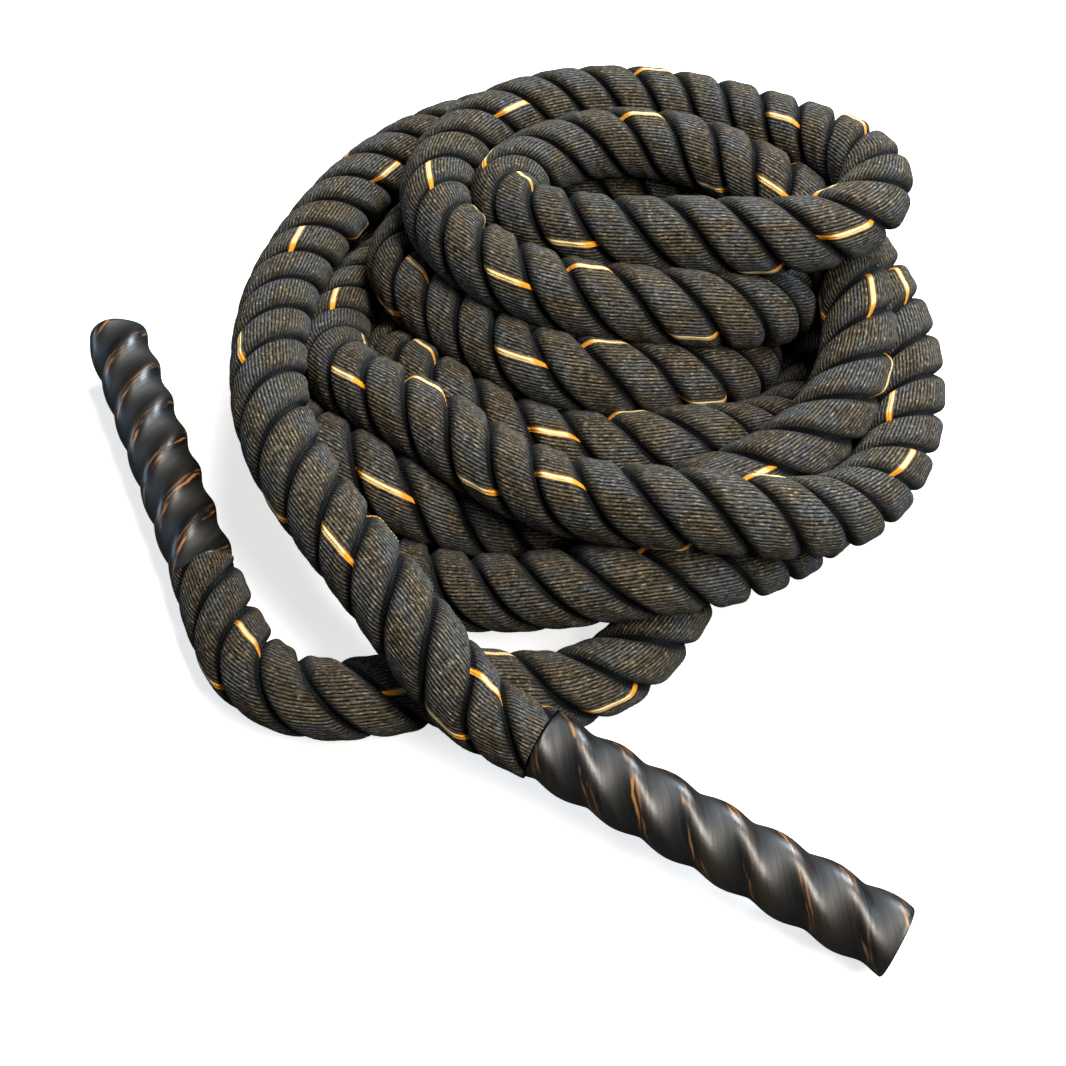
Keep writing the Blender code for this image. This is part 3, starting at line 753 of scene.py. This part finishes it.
def sleeve_material():
    """Black heat-shrink tube: glossy, with brown streaks along the strands that it holds."""
    made, look, shader = new_material("shrunk_tube")
    lobe, place, _ = look.lay()
    # Places across a lobe run from -0.5 to 0.5, with 0 on its crest.
    across = look.subtract(look.maths("FRACT", look.add(lobe, 0.5)), 0.5)

    def grain(cells, around, layer):
        along, wide = cells
        spot = look.combined(look.multiply(place, along), look.multiply(around, wide), layer)
        return look.noise(spot)

    broken = grain(STREAK_CELLS, across, look.maths("FLOOR", lobe))
    wander = look.multiply(look.subtract(grain(WANDER_CELLS, lobe, WANDER_LAYER), 0.5), STREAK_WANDER)
    wandering = look.add(across, wander)
    lines = 0.0
    for middle, reach, strength in STREAKS:
        off = look.distance(wandering, middle)
        lines = look.maths("MAXIMUM", lines, look.mapped(off, reach, STREAK_CORE, 0.0, strength))
    streak = look.multiply(lines, look.mapped(broken, *STREAK_MASK))
    haze = grain(HAZE_CELLS, lobe, HAZE_LAYER)
    tube = look.mixed(look.mapped(haze, *HAZE_MASK), *TUBE_BLACKS)
    streaked = look.mixed(streak, tube, TUBE_STREAK)
    # Between two lobes the tube is darker with painted shade, and duller.
    valley = look.mapped(look.maths("ABSOLUTE", across), *VALLEY_MASK)
    deep = look.mixed(look.multiply(valley, VALLEY_SHADE), streaked, VALLEY_PAINTED_SHADE)
    # The yarns press faint lines through the tube, parallel to the strands.
    threads = grain(THREAD_CELLS, lobe, THREAD_LAYER)
    crest_roughness = look.mapped(threads, *TUBE_ROUGHNESS)
    pressed = look.bumped(threads, THREAD_BUMP, TUBE_BUMP_STRENGTH)
    fine = look.noise(look.own_place(), *FINE_NOISE)
    look.feed_by_name(shader, {
        "Base Color": deep,
        "Specular IOR Level": TUBE_SPECULAR,
        "Roughness": look.add(crest_roughness, look.multiply(valley, VALLEY_ROUGHNESS)),
        "Normal": look.bumped(fine, FINE_BUMP, TUBE_BUMP_STRENGTH, pressed),
    })
    return made


def floor_material():
    """Plain pale floor that the camera sees as white where no shadow lies on it, painted dark as shadow
    inside the coil.
    """
    made, look, shader = new_material("pale_floor")
    seen = look.seen()
    # Inside the coil the floor is painted dark as shadow and has no lift, so the slits between the
    # turns stay dark.
    x, y, _ = look.split(look.own_place())
    aside = look.divide(look.subtract(x, COIL_CENTRE[0]), COIL_HOLE[0])
    behind = look.divide(look.subtract(y, COIL_CENTRE[1]), COIL_HOLE[1])
    away = look.add(look.multiply(aside, aside), look.multiply(behind, behind))
    outside = look.mapped(away, *COIL_EDGE)
    look.feed_by_name(shader, FLOOR_SURFACE)
    look.feed_by_name(shader, {
        "Base Color": look.mixed(outside, COIL_PAINTED_SHADOW, look.mixed(seen, FLOOR_THROWN, FLOOR_SHOWN)),
        "Emission Strength": look.multiply(seen, look.multiply(outside, FLOOR_LIFT)),
    })
    return made


# Sleeves

def lobed_radius(angle, crest):
    """Radius of the shrunk skin: highest over each strand, lowest over the groove between two."""
    return crest - GROOVE_DEPTH * (1 - np.cos(STRANDS * angle)) / 2


def sleeve(name, mouth, along, look):
    side, up = axes(along)
    crest = SLEEVE_DIAMETER / 2
    lip = crest - LIP_ROUNDING
    low, high = LIP_ROUNDING, SLEEVE_LENGTH - LIP_ROUNDING
    inner = [(place, crest - SLEEVE_WALL) for place in np.linspace(0.0, SLEEVE_LENGTH, SLEEVE_RINGS)]
    outer = [(place, crest) for place in np.linspace(high, low, SLEEVE_RINGS)]
    profile = [*inner, (SLEEVE_LENGTH, lip), *outer, (0.0, lip)]
    angles = np.arange(SLEEVE_SIDES) * math.tau / SLEEVE_SIDES
    corners = []
    for place, size in profile:
        radii = lobed_radius(angles, size)
        turned = angles + math.tau * place / STRAND_LAY
        ring = np.outer(radii * np.cos(turned), side) + np.outer(radii * np.sin(turned), up)
        corners.append(mouth + along * (place + NODE_GAP) + ring)
    count = len(corners)
    faces = []
    for i in range(count):
        this, following = i * SLEEVE_SIDES, (i + 1) % count * SLEEVE_SIDES
        for k in range(SLEEVE_SIDES):
            beside = (k + 1) % SLEEVE_SIDES
            faces.append((this + k, following + k, following + beside, this + beside))
    made = mesh_object(name, np.concatenate(corners), faces, look)
    add_lobes(made.data, [place for place, size in profile])
    return made


def add_lobes(mesh, places):
    """Writes each face corner's lobe, counted round the sleeve, and its place along it."""
    corner = np.empty(len(mesh.loops), int)
    mesh.loops.foreach_get("vertex_index", corner)
    ring, k = corner // SLEEVE_SIDES, corner % SLEEVE_SIDES
    # Faces have four corners, and the last face of a ring closes it.
    k = k.reshape(-1, 4)
    k = np.where((k == 0) & (k.max(axis=1, keepdims=True) == SLEEVE_SIDES - 1), SLEEVE_SIDES, k).ravel()
    lobe = k * STRANDS / SLEEVE_SIDES
    lay = mesh.attributes.new("lay", "FLOAT_VECTOR", "CORNER")
    values = np.stack([lobe, np.array(places)[ring], k / SLEEVE_SIDES], axis=1)
    lay.data.foreach_set("vector", values.astype(np.float32).ravel())


def rope_end(name, mouth, along, look):
    """The laid strands inside a sleeve, up to just short of its far end."""
    count = math.ceil(SLEEVE_LENGTH / RING_SPACING)
    places = np.linspace(NODE_GAP, SLEEVE_LENGTH - END_RECESS, count)
    line = mouth + places[:, None] * along
    side, up = axes(along)
    skin = SLEEVE_DIAMETER / 2 - SLEEVE_WALL - 2 * NODE_GAP
    both = (np.tile(side, (count, 1)), np.tile(up, (count, 1)))
    twist = math.tau * places / STRAND_LAY
    return laid_mesh(name, line, both, twist, np.full(count, skin / CREST_RADIUS), look, skin=skin)


# Making the scene

def to_frame(point):
    """A point of the route, in diameters, as a place in the row frame."""
    return np.array(point, float) * ROPE_DIAMETER - ROUTE_ORIGIN


def add_camera():
    data = bpy.data.cameras.new("camera")
    data.angle = 2 * math.atan(PICTURE_SIDE / 2 / FOCAL_PIXELS)
    made = bpy.data.objects.new("camera", data)
    made.location = to_frame(CAMERA_PLACE)
    made.rotation_euler = (CAMERA_TILT, 0.0, 0.0)
    bpy.context.scene.collection.objects.link(made)
    bpy.context.scene.camera = made


def add_rope(look):
    """The free rope between the two sleeves' mouths."""
    line = smooth_curve(rope_line() - ROUTE_ORIGIN, RING_SPACING)
    mouth_a, far_a = to_frame(SLEEVE_A_MOUTH), to_frame(SLEEVE_A_FAR)
    mouth_b, far_b = to_frame(SLEEVE_B_MOUTH), to_frame(SLEEVE_B_FAR)
    along, side, up = frames(line, axes(unit(far_a - mouth_a))[0])
    places = walked(line)
    twist = math.tau * places / STRAND_LAY
    # A slight extra twist brings the strands into step with the lobes of the second sleeve.
    lobe = axes(unit(far_b - mouth_b))[0]
    meant = math.atan2(np.dot(lobe, up[-1]), np.dot(lobe, side[-1]))
    third = math.tau / STRANDS
    slip = (meant - twist[-1] + third / 2) % third - third / 2
    twist += slip * places / places[-1]
    from_mouth = np.clip(np.minimum(places, places[-1] - places) / DRAWN_LENGTH, 0.0, 1.0)
    size = 1 - DRAWN_IN * (1 - from_mouth ** 2 * (3 - 2 * from_mouth))
    made = laid_mesh("battle_rope", line, (side, up), twist, size, look, floor=FLOOR_CLEARANCE)
    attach(made, "root")
    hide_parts("rope_coil", "rope_tail_a", "rope_tail_b")
    return made


def add_end(letter, mouth, far, sleeve_look, rope_look):
    mouth = to_frame(mouth)
    along = unit(to_frame(far) - mouth)
    skin = sleeve("grip_sleeve_" + letter, mouth, along, sleeve_look)
    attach(skin, "root")
    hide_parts("sleeve_" + letter)
    core = rope_end("rope_end_" + letter, mouth, along, rope_look)
    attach(core, "root")
    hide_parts(*["strand_%s_%d" % (letter, number + 1) for number in range(STRANDS)])


def add_floor(look):
    half = FLOOR_SIZE / 2
    corners = np.array([(-half, -half, 0), (half, -half, 0), (half, half, 0), (-half, half, 0)], float)
    made = mesh_object("floor", corners, [(0, 1, 2, 3)], look, smooth=False)


def add_lamp(name, place, size, power, colour, turn):
    data = bpy.data.lights.new(name, "AREA")
    data.shape = "RECTANGLE"
    data.size, data.size_y = size
    data.energy = power
    data.color = colour
    made = bpy.data.objects.new(name, data)
    made.location = place
    # Its second side lies front to back, until it is turned in its own plane.
    way = (Vector(LAMP_AIM) - Vector(place)).normalized()
    tilt = Euler((math.asin(way.y), math.atan2(-way.x, -way.z), 0.0)).to_matrix()
    made.rotation_euler = (tilt @ Matrix.Rotation(turn, 3, "Z")).to_euler()
    bpy.context.scene.collection.objects.link(made)


def add_world():
    """White to the camera, and a faint even light on everything."""
    world = bpy.data.worlds.new("studio")
    world.use_nodes = True
    look = Look(world.node_tree)
    strength = look.mapped(look.seen(), 0.0, 1.0, WORLD_LIGHT, 1.0)
    look.feed_by_name(world.node_tree.nodes["Background"], {"Color": WHITE, "Strength": strength})
    bpy.context.scene.world = world


def build():
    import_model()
    add_camera()
    rope_look = rope_material()
    sleeve_look = sleeve_material()
    add_rope(rope_look)
    add_end("a", SLEEVE_A_MOUTH, SLEEVE_A_FAR, sleeve_look, rope_look)
    add_end("b", SLEEVE_B_MOUTH, SLEEVE_B_FAR, sleeve_look, rope_look)
    add_floor(floor_material())
    add_world()
    for name, values in LAMPS.items():
        add_lamp(name, *values)
    bpy.context.scene.view_settings.view_transform = "Standard"


build()
